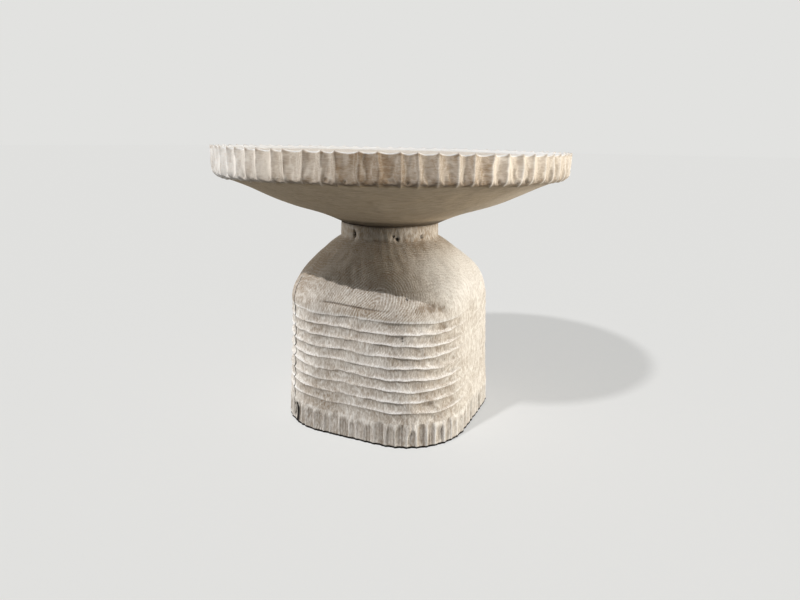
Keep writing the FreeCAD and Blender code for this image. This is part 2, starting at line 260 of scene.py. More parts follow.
def mortise_cutter(up, glue_gap=0.25 * MM, room=2.0 * MM, run_out=3.0 * MM):
    """A box round each tenon, from just past the seam to a little beyond the tenon's end, above or below."""
    corners = []
    for tenon in TENONS:
        low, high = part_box(tenon)
        bottom, top = (SEAM - run_out, high.z + room) if up else (low.z - room, SEAM + run_out)
        left, right = low.x - glue_gap, high.x + glue_gap
        front, back = low.y - glue_gap, high.y + glue_gap
        corners += [(x, y, z) for z in (bottom, top)
                    for x, y in ((left, front), (right, front), (right, back), (left, back))]
    box = np.array([(0, 3, 2, 1), (4, 5, 6, 7), (0, 1, 5, 4), (1, 2, 6, 5), (2, 3, 7, 6), (3, 0, 4, 7)])
    quads = (box[None] + 8 * np.arange(len(TENONS))[:, None, None]).reshape(-1, 4)
    return place("mortise_cutter", finished_mesh("mortise_cutter", np.array(corners), quads, smooth=False))


def cut_mortises(piece, up):
    """Cuts a blind mortise round each tenon, up into the top or down into the pedestal."""
    cutter = mortise_cutter(up)
    cut = piece.modifiers.new("mortises", "BOOLEAN")
    cut.operation = "DIFFERENCE"
    cut.solver = "EXACT"
    cut.object = cutter
    before = len(piece.data.vertices)
    graph = bpy.context.evaluated_depsgraph_get()
    result = bpy.data.meshes.new_from_object(
        piece.evaluated_get(graph), preserve_all_data_layers=True, depsgraph=graph)
    piece.modifiers.remove(cut)
    old, piece.data = piece.data, result
    bpy.data.meshes.remove(old)
    bpy.data.objects.remove(cutter)
    if len(piece.data.vertices) <= before:
        raise RuntimeError("no mortise was cut in %s" % piece.name)


# Tabletop

TOP_SEED = 11
TOP_COLUMNS = 16

# Rows of points from the middle of the dish: its floor, the border, the rim's wall, the turned edge and the
# cone. The border's rows stand closer towards the crest, and the last ones are worn lower.
TOP_ROWS = (7, 12, 15, 12, 18)
FLOOR, BORDER, WALL, TURN, CONE = (
    slice(sum(TOP_ROWS[:i]), sum(TOP_ROWS[:i + 1])) for i in range(len(TOP_ROWS)))
BORDER_INSET = np.array([36.0, 33.0, 29.0, 24.0, 19.0, 14.0, 10.0, 7.0, 4.5, 2.6, 1.2, 0.3])[:, None] / 36.0
BORDER_WEAR = np.array([0.0] * 9 + [0.15, 0.6, 1.4])[:, None] * MM
RIDGE_WEAR = 0.8 * MM
LIP_ROUNDING = 0.5 * MM
RIM_FRONT = math.radians(-63.0)


def flute_columns(top):
    """Angles of the top's columns at each row, and each column's place, depth and wear in its flute.

    The columns keep to the flutes, so that each ridge is a line of points. A flute is a scoop whose depth
    falls from its middle to the ridges beside it with the square of the distance. The ridges stand, lean
    and bow a seeded little off an even spacing.
    """
    count = top.flute_count
    columns = np.arange(count * TOP_COLUMNS)
    flute, across = columns // TOP_COLUMNS, columns % TOP_COLUMNS / TOP_COLUMNS
    following = (flute + 1) % count
    wrap = np.where(flute + 1 == count, count, 0)
    dice = np.random.default_rng(TOP_SEED)
    shift = np.clip(dice.normal(0.0, 0.10, count), -0.2, 0.2)
    lean = dice.normal(0.0, 0.055, count)
    bow = dice.normal(0.0, 0.045, count)
    depth = top.flute_depth * dice.uniform(0.80, 1.15, count)
    wear = dice.uniform(0.0, 1.0, count)
    down = np.concatenate([
        np.zeros(BORDER.stop),
        np.linspace(0.0, 0.75, TOP_ROWS[2]),
        np.linspace(0.75, 1.0, TOP_ROWS[3] + 1)[1:],
        np.ones(TOP_ROWS[4]),
    ])[:, None]
    ridge = np.arange(count) + shift + lean * (down - 0.5) + bow * np.sin(math.pi * down)
    turn = ridge[:, flute] * (1 - across) + (ridge[:, following] + wrap) * across
    to_ridge = np.abs(2.0 * across - 1.0)
    return SimpleNamespace(
        angle=(turn - 0.1) * 2.0 * math.pi / count,
        across=across,
        to_ridge=to_ridge,
        near_ridge=bell(1.0 - to_ridge, 0.15),
        scoop=depth[flute] * (1.0 - to_ridge ** 2),
        worn=wear[flute] * (1 - across) + wear[following] * across,
    )


def top_profile(top, flutes):
    """The top before its rim is fluted: radius, height, way outwards and path down the side of each point.

    The border falls from the crest to the dish floor as a power of the distance from the rim. The rim turns
    into the underside by an arc, and the underside is a cone with a slow double swell.
    """
    left = np.cos(flutes.angle - PHOTO_LEFT)
    crest = TOP_HIGH.z + top.crest_tilt * left
    rim = top.rim_height + top.rim_sag * left
    cone_angle = math.atan2(TOP_HIGH.z - SEAM - top.rim_height, top.radius - top.landing)
    turned = math.pi / 2.0 - cone_angle
    tangent = top.edge_turn * math.tan(turned / 2.0)
    radius, height = np.zeros_like(flutes.angle), np.zeros_like(flutes.angle)
    out_r, out_z = np.ones_like(flutes.angle), np.zeros_like(flutes.angle)

    dished = top.dish_depth + 0.35 * MM * waves(flutes.angle, 0.0, TOP_SEED + 1, 9, 0.0)
    radius[FLOOR] = (top.radius - top.border) * np.linspace(0.06, 0.94, TOP_ROWS[0])[:, None]
    height[FLOOR] = crest[FLOOR] - dished[FLOOR]
    edge = top.radius - 1.15 * flutes.scoop - RIDGE_WEAR * flutes.worn * flutes.near_ridge
    radius[BORDER] = top.radius - (top.radius - edge) * (1 - BORDER_INSET) - top.border * BORDER_INSET
    inward = np.clip((top.radius - radius[BORDER]) / top.border, 0.0, 1.0)
    height[BORDER] = crest[BORDER] - dished[BORDER] * (1.0 - (1.0 - inward) ** 2.1) - BORDER_WEAR

    wall_foot = crest - rim + tangent
    fall = np.linspace(0.03, 1.0, TOP_ROWS[2])[:, None] ** 1.1
    radius[WALL] = top.radius
    height[WALL] = (height[WALL.start - 1] - 1.2 * MM) * (1 - fall) + wall_foot[WALL] * fall
    arc = turned * (np.arange(TOP_ROWS[3]) + 1.0)[:, None] / TOP_ROWS[3]
    radius[TURN] = top.radius - top.edge_turn * (1.0 - np.cos(arc))
    height[TURN] = wall_foot[TURN] - top.edge_turn * np.sin(arc)
    out_r[TURN], out_z[TURN] = np.cos(arc), -np.sin(arc)

    start = top.radius - tangent * math.cos(cone_angle)
    share = ((np.arange(TOP_ROWS[4]) + 1.0) / TOP_ROWS[4])[:, None] ** 1.25
    radius[CONE] = start * (1 - share) + (top.landing + 0.7 * MM) * share
    run = (top.radius - radius[CONE]) / (top.radius - top.landing)
    swell = (2.0 * np.sin(3.0 * math.pi * run) - np.sin(math.pi * run)) * MM
    height[CONE] = SEAM + (crest[CONE] - rim[CONE] - SEAM) * (1.0 - run) + swell
    out_r[CONE], out_z[CONE] = math.sin(cone_angle), -math.cos(cone_angle)

    steps = np.hypot(np.diff(radius[WALL.start:], axis=0), np.diff(height[WALL.start:], axis=0))
    path, side = np.zeros_like(flutes.angle), np.zeros_like(flutes.angle)
    path[WALL.start + 1:] = np.cumsum(steps, axis=0)
    side[WALL.start:] = 1.0
    return SimpleNamespace(
        radius=radius, height=height, out_r=out_r, out_z=out_z, path=path, past_rim=path - rim, side=side)


def carve_rim(top, flutes, form):
    """Cuts the flutes into the profile, and returns how far each point lay in front of its flute's floor.

    The gouge runs straight down and leaves through the turned edge, so a flute ends in a crisp, ragged lip.
    The ends of the ridges hang lower there, most where a ridge is worn. Under the rim the wood is uneven.
    """
    past = form.past_rim
    hang = (0.9 + 2.2 * flutes.worn) * MM * between(-16.0 * MM, -4.0 * MM, 2.0 * MM, 15.0 * MM, past)
    form.height -= hang * flutes.to_ridge ** 5 * form.side
    leaving = 1.0 + 0.15 * smooth_step(-16.0 * MM, -2.0 * MM, past)
    flute_floor = top.radius - flutes.scoop * leaving - RIDGE_WEAR * flutes.worn * flutes.near_ridge
    flute_floor += 0.45 * MM * waves(flutes.angle, form.height, TOP_SEED + 3, 210, 240.0, 16)
    ragged = 0.7 * MM * waves(flutes.angle, form.height, TOP_SEED + 7, 330, 500.0, 16)
    flute_floor += ragged * smooth_step(-14.0 * MM, -6.0 * MM, past)
    flute_floor -= np.clip(ragged, 0.0, 1.4 * MM) * flutes.near_ridge
    flute_floor -= 0.15 * flutes.scoop * np.exp(-form.path / (9.0 * MM))

    in_front = form.radius - flute_floor
    softened = np.minimum(form.radius, flute_floor)
    softened -= LIP_ROUNDING * np.log1p(np.exp(-np.abs(in_front) / LIP_ROUNDING))
    in_rim = form.side * (1.0 - smooth_step(8.0 * MM, 20.0 * MM, past))
    form.radius += (softened - form.radius) * in_rim
    drift = 0.5 * MM * waves(flutes.angle, form.height, TOP_SEED + 4, 14, 60.0)
    drift += 0.25 * MM * waves(flutes.angle, form.height, TOP_SEED + 5, 60, 200.0, 14)
    drift *= form.side * smooth_step(-4.0 * MM, 16.0 * MM, past) * (form.radius / top.radius) ** 2
    drift[-1] = 0.0
    form.radius += drift * form.out_r
    form.height += drift * form.out_z
    return in_front


def top_fields(flutes, form, in_front):
    """How rubbed, dusty and bare each point of the top is, and where light and shade are painted on it.

    The border and the crest are rubbed pale, and the rim's left end is paler wash with light painted on it.
    Ridges keep brown, and the rim is browner and darker on the photographer's side. Shade is painted along
    the lips of the flutes and under them, on the half of each flute turned from the light and on the
    underside, and highlights are painted on the ridges of the right half.
    """
    past, across = form.past_rim, flutes.across
    mottle = waves(flutes.angle, form.height, TOP_SEED + 8, 160, 180.0, 16)
    facing = np.cos(flutes.angle - RIM_FRONT)
    to_right = np.cos(flutes.angle - CAMERA_TURN)
    right_side = smooth_step(-0.1, 0.25, to_right)
    left_end = (1.0 - smooth_step(0.50, 0.86, facing)) * (1.0 - right_side)
    on_rim = form.side * (1.0 - smooth_step(0.0, 6.0 * MM, past))
    on_crest = np.zeros_like(past)
    on_crest[WALL.start - 5:WALL.start + 2] = np.array([0.2, 0.5, 0.8, 1.0, 1.0, 1.0, 0.6])[:, None]
    on_crest *= bell(1.0 - flutes.to_ridge, 0.30)
    # Shade is painted brown and dark below the lips of the flutes and along the rim's lower edge, where it
    # turns under.
    below_lip = bell(in_front + 1.0 * MM, 1.3 * MM) * form.side
    below_lip *= smooth_step(-16.0 * MM, -8.0 * MM, past) * (1.0 - flutes.to_ridge ** 4)
    lip = bell(past + (2.0 - 3.0 * mottle) * MM, 7.0 * MM) * form.side * (1.0 - flutes.to_ridge ** 6)
    ridge_brown = bell(1.0 - flutes.to_ridge, 0.11) * form.side * (past < 0.0)
    ridge_brown *= np.clip(0.45 + 0.8 * mottle, 0.0, 1.0)
    left_lines = ridge_brown * (1.0 - right_side)

    # The half of each flute that is turned from the light is painted browner, as painted shade.
    shaded_half = smooth_step(0.30, 0.65, across) * right_side
    shaded_half += (1.0 - smooth_step(0.25, 0.65, across)) * (1.0 - right_side)
    # The rim's front is browner, and its left end is painted paler, as light from the left, on paler wash.
    bare_and_shading = 0.95 * smooth_step(0.86, 1.0, facing) - 0.12 - 0.22 * left_end
    bare_and_shading += (0.34 + 0.28 * right_side) * smooth_step(0.40, 0.90, facing) * shaded_half
    bare_and_shading += 0.12 * waves(flutes.angle, form.height, TOP_SEED + 6, 40, 60.0)
    bare_and_shading *= form.side * (1.0 - smooth_step(0.0, 10.0 * MM, past))
    bare_and_shading[FLOOR] = 0.22
    bare_and_shading[BORDER] = np.linspace(0.20, 0.0, TOP_ROWS[1])[:, None]

    # Highlights are painted on the ridges of the right half, and light on the rim's left end.
    tip_and_highlight = ((0.15 + 0.38 * right_side) * flutes.near_ridge + 0.80 * left_end) * on_rim
    tip_and_highlight[FLOOR] = 0.45
    tip_and_highlight[BORDER] = np.minimum(np.linspace(0.5, 2.6, TOP_ROWS[1]), 1.45)[:, None]
    tip_and_highlight *= (1.0 - 0.75 * on_crest) * (1.0 - 0.5 * np.clip(bare_and_shading, 0.0, 1.0)) * (1.0 - 0.75 * left_lines)
    hollow_and_shade = 0.95 * lip + 0.9 * below_lip + ridge_brown * (1.0 - 0.85 * right_side) + 0.9 * on_crest
    hollow_and_shade += 0.20 * np.clip(mottle, 0.0, 1.0) * form.side * (1.0 - smooth_step(0.0, 5.0 * MM, past))
    # Shade under the top is painted browner on the underside, less on the right, where the right light falls.
    under = smooth_step(-5.0 * MM, 3.0 * MM, past) * form.side
    under *= 1.0 - 0.45 * smooth_step(0.45, 0.95, to_right)
    grime_and_shade = 0.35 * below_lip + 0.17 * smooth_step(0.93, 0.995, facing) * on_rim + 0.20 * left_lines
    # Shade is painted dark where the underside meets the neck.
    grime_and_shade[-2:] = 0.6
    return {"tip_and_highlight": tip_and_highlight, "hollow_and_shade": np.clip(hollow_and_shade, 0.0, 1.0), "under": under,
            "bare_and_shading": np.clip(bare_and_shading, -0.45, 1.0), "grime_and_shade": grime_and_shade}


def tabletop_mesh(top):
    """The top's closed mesh: rings from the middle of the dish, over the rim and down the cone to the seam.

    The last two rings step down to the flat that lands on the neck.
    """
    flutes = flute_columns(top)
    form = top_profile(top, flutes)
    in_front = carve_rim(top, flutes, form)
    fields = top_fields(flutes, form, in_front)
    cosine, sine = np.cos(flutes.angle), np.sin(flutes.angle)
    points = np.stack([form.radius * cosine, form.radius * sine, form.height], axis=-1)
    step = points[-1] * (1.0, 1.0, 0.0) + (0.0, 0.0, SEAM + 0.35 * MM)
    landing = np.stack([top.landing * cosine[-1], top.landing * sine[-1], 0.0 * sine[-1] + SEAM], axis=-1)
    points = np.concatenate([points, step[None], landing[None]])
    fields = {name: np.concatenate([field, field[-1:], field[-1:]]) for name, field in fields.items()}

    number = np.arange(points[..., 0].size).reshape(points.shape[:2])
    middles = [points[0].mean(axis=0), points[-1].mean(axis=0)]
    triangles = np.concatenate([fan(number.size, number[0]), under_fan(number.size + 1, number[-1])])
    fields = {name: np.append(field.ravel(), [field[0].mean(), field[-1].mean()])
              for name, field in fields.items()}
    points = np.concatenate([points.reshape(-1, 3), middles])
    return finished_mesh("tabletop_carved", points, grid_quads(number), triangles, fields)


# Pedestal

PEDESTAL_SEED = 23
FOOT_COLUMNS = 16

# Knots, pits and pinholes: bearing in degrees and height in millimetres, then size along the surface,
# size up and depth in millimetres.
PITS = (
    (-109.2, 337.0, 3.0, 7.5, 3.6),
    (-57.5, 332.5, 3.4, 3.6, 3.8),
    (-61.5, 336.5, 2.4, 3.2, 2.8),
    (-26.5, 334.0, 2.2, 3.0, 2.2),
    (-57.4, 251.0, 1.5, 2.6, 2.2),
    (-59.5, 189.5, 1.5, 2.2, 2.0),
    (-58.9, 184.5, 1.2, 1.5, 1.4),
)
# Dark specks without a pit: bearing in degrees, height and size in millimetres.
SPECKS = ((-82.4, 330.0, 2.6), (-20.4, 324.5, 2.8), (-13.0, 319.0, 2.6))

SCORED_LINE_HEIGHT = 232.0 * MM
NEAR_CORNER = math.radians(-60.0)
FOOT_CRACK = math.radians(-126.3)
FOOT_CRACK_REACH = 192.0 * MM
FOOT_CRACK_DEPTH = 2.6 * MM

# Rows of a groove as shares of the way up from its lower ridge, and the row where it is deepest.
GROOVE_ROWS = np.array([0.985, 0.95, 0.90, 0.83, 0.60, 0.36, 0.26, 0.17, 0.08, 0.0])[:, None]
GROOVE_ROOT = 0.36


def bearing_of(angle):
    """Bearing in degrees, from -180 to 180, of an angle in radians."""
    return np.degrees(np.mod(angle + math.pi, 2.0 * math.pi) - math.pi)


def round_waves(angle, number, turns, count=9):
    """Smooth unevenness round the pedestal alone, the same at every height."""
    return waves(angle, 0.0, PEDESTAL_SEED + number, turns, 0.0, count)


def square_radius(angle, half, corner):
    """Polar radius of a rounded square: the flat side, or the corner's arc where the ray passes it."""
    along = np.maximum(np.abs(np.cos(angle)), np.abs(np.sin(angle)))
    short = np.minimum(np.abs(np.cos(angle)), np.abs(np.sin(angle)))
    flat = half - corner
    reach = flat * (along + short)
    arc = reach + np.sqrt(np.maximum(corner ** 2 - (flat * (along - short)) ** 2, 0.0))
    return np.where(half * short <= flat * along, half / along, arc)


def pedestal_columns(ped):
    """Angles of the columns, spread over the foot's outline so that each foot ridge is a line of points.

    The outline's running length is turned back to an angle by interpolation, and the ridges stand a
    seeded little off an even spacing.
    """
    dense = np.linspace(0.0, 2.0 * math.pi, 7201)
    reach = square_radius(dense, ped.foot_half, ped.foot_corner)
    run = np.hypot(np.diff(reach * np.cos(dense)), np.diff(reach * np.sin(dense)))
    run = np.concatenate([[0.0], np.cumsum(run)])
    dice = np.random.default_rng(PEDESTAL_SEED)
    shift = np.clip(dice.normal(0.0, 0.17, ped.foot_flute_count), -0.32, 0.32)
    shift = np.append(shift, shift[0])
    ridge = (np.arange(ped.foot_flute_count + 1) + shift) / ped.foot_flute_count
    share = np.arange(ped.foot_flute_count * FOOT_COLUMNS) / FOOT_COLUMNS
    place_on_run = np.interp(share, np.arange(ped.foot_flute_count + 1), ridge) * run[-1]
    return np.interp(np.mod(place_on_run, run[-1]), run, dense), share


def body_section(ped, height):
    """Half width and corner radius of the smooth body, shoulder and neck at a height.

    From the foot the body narrows evenly to the first ridge. Over the shoulder the half width falls with
    a blend of the height share and a higher power of it, and the corners round off to a full circle.
    """
    low = np.clip(height / ped.ridge_top, 0.0, 1.0)
    half = ped.foot_half + (ped.body_half - ped.foot_half) * low
    corner = ped.foot_corner + (ped.body_corner - ped.foot_corner) * low
    up = np.clip((height - ped.ridge_top) / (ped.neck_root - ped.ridge_top), 0.0, 1.0)
    wide = 1.0 - 0.13 * up - 0.87 * up ** 2.65
    half = np.where(height > ped.ridge_top, ped.neck_radius + (ped.body_half - ped.neck_radius) * wide, half)
    rounded = np.clip(up / 0.78, 0.0, 1.0) ** 1.8
    square = ped.body_corner / ped.body_half
    corner = np.where(height > ped.ridge_top, half * (square + (1.0 - square) * rounded), corner)
    return half, corner


def pedestal_ring(ped, angle, height, cut):
    """Points of rings at a height: the section's polar radius less the cut, a little narrower along X."""
    half, corner = body_section(ped, height)
    reach = square_radius(angle, half, corner) - cut
    squash = 0.006 + 0.010 * smooth_step(46.0 * MM, 80.0 * MM, height)
    squash = squash - 0.016 * smooth_step(225.0 * MM, 320.0 * MM, height)
    up = smooth_step(250.0 * MM, 330.0 * MM, height)
    off = ped.off_centre + (-ped.neck_off_centre - ped.off_centre) * up
    x = reach * np.cos(angle) * (1.0 - squash) + off * math.cos(CAMERA_TURN)
    y = reach * np.sin(angle) * (1.0 + squash) + off * math.sin(CAMERA_TURN)
    return np.stack([x, y, np.broadcast_to(height, x.shape)], axis=-1)


def surface_mark(ped, bearing, height_mm, deep_mm=0.0):
    """Point of the pedestal, or under it, at a bearing in degrees and a height in millimetres.

    In the ridged body it lies halfway into a groove.
    """
    cut = deep_mm * MM + (0.0 if height_mm * MM > ped.ridge_top else 0.5 * ped.groove_depth)
    return pedestal_ring(ped, np.array(math.radians(bearing)), np.array(height_mm * MM), cut)


def pitted_ring(ped, angle, height, cut):
    """Points of rings at a height, with the pits pressed in towards the middle line."""
    points = pedestal_ring(ped, angle, height, cut)
    outward = np.stack([np.cos(angle), np.sin(angle), 0.0 * angle], axis=-1)
    for bearing, height_mm, wide, tall, deep in PITS:
        away = (points - surface_mark(ped, bearing, height_mm)) / (np.array([wide, wide, tall]) * MM)
        points = points - deep * MM * np.exp(-(away ** 2).sum(axis=-1))[..., None] * outward
    return points


def neck_and_shoulder(ped, angle):
    """Rings of the neck and the domed shoulder, from the seam to the first ridge, and their fields.

    A gouge scored a line part of the way round, just above the first ridge, and shade is painted dark in it.
    To the right of it the surface has a rough brown patch. The shoulder's right side is painted whitest, as
    light from the right, and shade is painted darker and browner high on the shoulder under the top and along
    the seam.
    """
    scored_top, scored_end = 240.0 * MM, 226.0 * MM
    height = np.concatenate([
        [SEAM, SEAM - 1.1 * MM],
        np.linspace(SEAM - 4.0 * MM, ped.neck_root, 10),
        np.linspace(ped.neck_root, scored_top, 26)[1:],
        np.linspace(scored_top, scored_end, 12)[1:],
        np.linspace(scored_end, ped.ridge_top, 5)[1:-1],
    ])[:, None] + 0.0 * angle
    bearing = bearing_of(angle)
    near_seam = smooth_step(ped.neck_root, SEAM, height)
    uneven = 0.8 * MM * waves(angle, height, PEDESTAL_SEED + 1, 9, 45.0)
    uneven += 0.25 * MM * waves(angle, height, PEDESTAL_SEED + 2, 60, 240.0, 14)
    uneven *= smooth_step(ped.ridge_top, ped.ridge_top + 12.0 * MM, height) * (1.0 - 0.6 * near_seam)
    # The scored line is cut in, and shade is painted dark in it.
    scored = bell(height - SCORED_LINE_HEIGHT - 0.8 * MM * round_waves(angle, 3, 7), 1.4 * MM)
    scored = scored * between(-112.0, -104.0, -84.0, -60.0, bearing)
    # Shade is painted nearly black along the seam under the top.
    seam_edge = bell(SEAM - height, 1.0 * MM)
    points = pitted_ring(ped, angle, height, 1.4 * MM * scored + uneven + 1.0 * MM * seam_edge)

    # The right side is painted whiter, as light from the right, fading out towards the neck.
    lit_side = between(-58.0, -28.0, 60.0, 90.0, bearing)
    lit_side = lit_side * (1.0 - smooth_step(290.0 * MM, 322.0 * MM, height))
    painted_light = lit_side * (0.25 + 0.75 * smooth_step(ped.ridge_top, ped.ridge_top + 50.0 * MM, height))
    brown = smooth_step(0.2, 1.3, waves(angle, height, PEDESTAL_SEED + 8, 7, 30.0)) * (1.0 - near_seam)
    rough = bell(bearing + 44.0, 7.5, 4)
    rough = rough * bell(height - 236.0 * MM - 1.2 * MM * round_waves(angle, 12, 30), 6.5 * MM)
    rough *= np.clip(0.62 + 0.26 * waves(angle, height, PEDESTAL_SEED + 10, 150, 300.0, 24), 0.0, 1.2)
    root_line = bell(height - ped.neck_root, 3.0 * MM)
    # Darker with the hollows' colour over the 5 mm below the seam.
    below_seam = bell(SEAM - height, 5.0 * MM)
    # Shade is painted darker high on the shoulder under the top and near the seam, less on the lit right
    # side.
    shaded = 0.18 * smooth_step(scored_top, 262.0 * MM, height)
    shaded = shaded + (0.03 + 0.18 * bell(bearing + 72.0, 24.0)) * near_seam
    shaded *= (1.0 - lit_side) * (1.0 - 0.6 * between(-62.0, -40.0, 60.0, 90.0, bearing))
    # Shade under the top is painted browner high on the shoulder.
    under_top_shade = smooth_step(250.0 * MM, 285.0 * MM, height) * (1.0 - 0.8 * smooth_step(-66.0, -44.0, bearing))
    return points, {
        "tip_and_highlight": 0.42 * painted_light,
        "hollow_and_shade": np.clip(0.9 * scored + 0.3 * root_line + 0.8 * below_seam + rough, 0.0, 1.0),
        "under": 0.34 * under_top_shade * (1.0 - lit_side),
        "bare_and_shading": np.clip((0.46 + 0.35 * brown) * (1.0 - lit_side) - 0.20 * painted_light + 1.3 * rough, -0.4, 1.0),
        "grime_and_shade": 0.9 * seam_edge + 0.18 * rough + 0.35 * scored + shaded,
    }


def ridge_lines(ped, angle):
    """Heights of the ridge lines from the foot up, each wavering a little by itself and all together.

    They sag a little round the corner that is nearest to the photographer.
    """
    pitch = (ped.ridge_top - ped.foot_height) / ped.groove_count
    common = 0.9 * MM * round_waves(angle, 4, 6)
    common = common - 4.2 * MM * smooth_step(0.80, 1.0, np.cos(angle - NEAR_CORNER))
    return [
        ped.foot_height + k * pitch + common
        + 0.75 * MM * round_waves(angle, 40 + k, 12)
        + 0.45 * MM * round_waves(angle, 70 + k, 44, 12)
        for k in range(ped.groove_count + 1)]


def groove_scoop(lowest):
    """Depth of a groove at its rows, as a share of the deepest.

    From the lower ridge it rises as a parabola to the root, stays nearly level, then falls at once to the
    upper ridge, so the ridges stand like low steps. The lowest groove runs on into the foot band.
    """
    below = 1.0 - (0.35 if lowest else 1.0) * ((GROOVE_ROOT - GROOVE_ROWS) / GROOVE_ROOT) ** 2
    above = 1.0 - 0.25 * (GROOVE_ROWS - GROOVE_ROOT) / (1.0 - GROOVE_ROOT)
    above -= 0.75 * smooth_step(0.80, 1.0, GROOVE_ROWS)
    return np.where(GROOVE_ROWS <= GROOVE_ROOT, below, above)


def ridged_body(ped, angle):
    """Rings of the ridged body from the first ridge down, their fields, and the last ridge's height and cut.

    The grooves nearly fade out on the right-hand face. They are shallower on the front's left half, low
    down on the left, and high up at the left-hand corner. Highlights are painted on the ridges, strongest
    near the front corner, and shade is painted brown just under each ridge. The right-hand face has paler
    wash and is painted paler as light from the right.
    """
    bearing = bearing_of(angle)
    right_face = between(-38.0, -12.0, 26.0, 44.0, bearing)
    front_left = between(-122.0, -106.0, -80.0, -62.0, bearing)
    low_left = 1.0 - smooth_step(-100.0, -78.0, bearing)
    left_corner = 1.0 - smooth_step(-124.0, -108.0, bearing)
    cut_share = 1.0 - 0.38 * front_left - 0.82 * right_face
    lines = ridge_lines(ped, angle)
    heights, cuts, tips, hollows = [lines[-1]], [0.0 * angle], [0.8 * cut_share + 0.0 * angle], [0.0 * angle]
    for k in range(ped.groove_count - 1, -1, -1):
        scoop = groove_scoop(lowest=k == 0)
        height = lines[k] + GROOVE_ROWS * (lines[k + 1] - lines[k])
        deep = ped.groove_depth * (1.0 + 0.30 * round_waves(angle, 100 + k, 26, 12))
        deep = np.clip(deep, 0.9 * MM, 5.5 * MM) * cut_share
        deep = deep * (1.0 - 0.42 * low_left * max(0.0, 1.0 - k / 5.0))
        deep = deep * (1.0 - 0.65 * left_corner * max(0.0, (k - 5.0) / 3.0))
        tool = 0.30 * MM * waves(angle, height, PEDESTAL_SEED + 5, 110, 380.0, 16)
        chips = 0.35 * MM * np.clip(round_waves(angle, 130 + k, 80, 12), 0.0, 2.0)
        # Ridges are rubbed pale, and highlights are painted on them, strongest near the front corner.
        rubbed_and_highlight = 0.55 + 0.6 * bell(bearing + 62.0, 22.0) + 0.35 * round_waves(angle, 160 + k, 30)
        rubbed_and_highlight = np.clip(rubbed_and_highlight, 0.0, 1.0) if k else 0.0
        # Dust stays just under each ridge, and shade is painted there too.
        dust_and_shade = 0.38 * np.clip(0.5 + 0.7 * round_waves(angle, 190 + k, 34, 12), 0.0, 1.0)
        dust_and_shade = dust_and_shade * (1.0 - 0.7 * right_face) * (1.0 - 0.45 * front_left)
        heights.append(height)
        cuts.append((deep + tool) * scoop + chips * np.exp(-GROOVE_ROWS / 0.08))
        tips.append(rubbed_and_highlight * bell(GROOVE_ROWS, 0.15) * cut_share)
        hollows.append(dust_and_shade * scoop * bell(GROOVE_ROWS - 0.88, 0.14))
    height = np.concatenate(heights)
    points = pitted_ring(ped, angle, height, np.concatenate(cuts))
    brown_bands = smooth_step(0.0, 1.6, waves(angle, height, PEDESTAL_SEED + 9, 9, 60.0))
    return points, {
        "tip_and_highlight": np.concatenate(tips),
        "hollow_and_shade": np.concatenate(hollows),
        "under": 0.0 * height,
        # The right-hand face has paler wash and is painted paler, as light from the right.
        "bare_and_shading": (0.22 + 0.28 * brown_bands) * (1.0 - right_face) - 0.05 * right_face,
        "grime_and_shade": 0.0 * height,
    }, height[-1], cuts[-1][-1]


def at_foot_columns(values):
    """Values at the body's columns, carried to the foot's columns, which are twice as many."""
    count = 2 * len(values)
    return np.interp(np.arange(count), np.arange(0, count + 1, 2), np.append(values, values[0]))


def foot_crack(angle, band):
    """Shape and colour of the short crack in the foot, as two shares: a tapering wedge and its dark field."""
    away = np.radians(bearing_of(angle - FOOT_CRACK)) * FOOT_CRACK_REACH
    tall = between(-1.0 * MM, 3.0 * MM, 36.0 * MM, 40.0 * MM, band)
    taper = 1.0 - 0.50 * smooth_step(24.0 * MM, 40.0 * MM, band)
    taper -= 0.15 * (1.0 - smooth_step(0.0, 20.0 * MM, band))
    return bell(away, 3.2 * MM * taper, 6) * tall, bell(away, 6.4 * MM * taper, 8) * tall


